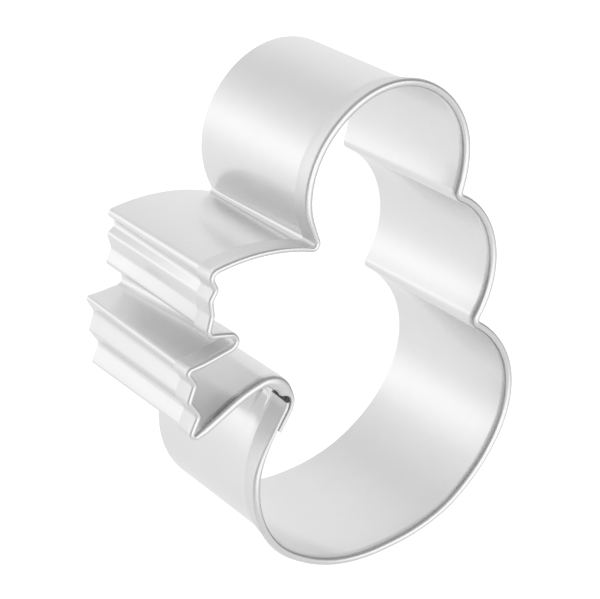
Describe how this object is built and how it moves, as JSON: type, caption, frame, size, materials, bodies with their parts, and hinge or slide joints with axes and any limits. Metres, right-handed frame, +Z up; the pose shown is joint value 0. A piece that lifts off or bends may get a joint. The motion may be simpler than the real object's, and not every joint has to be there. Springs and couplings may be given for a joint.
{
  "type": "cookie cutter",
  "caption": "Hemmed tinplate cookie cutter in the outline of a snowman with a two-tailed scarf.",
  "frame": {"origin": "middle of the outline's box, on the plane of the cutting edge", "axes": "+Z up from the cutting edge to the hemmed rim, +Y towards the snowman's head, -X towards the scarf tails"},
  "size_m": [0.058, 0.0738, 0.0254],
  "materials": {
    "tinplate": "bright rolled tinplate with light handling marks",
    "weld_nugget": "resistance-welded steel, dull"
  },
  "bodies": {
    "root": {"cutter_strip": "tinplate", "rim_side_weld": "weld_nugget", "edge_side_weld": "weld_nugget"}
  },
  "joints": []
}
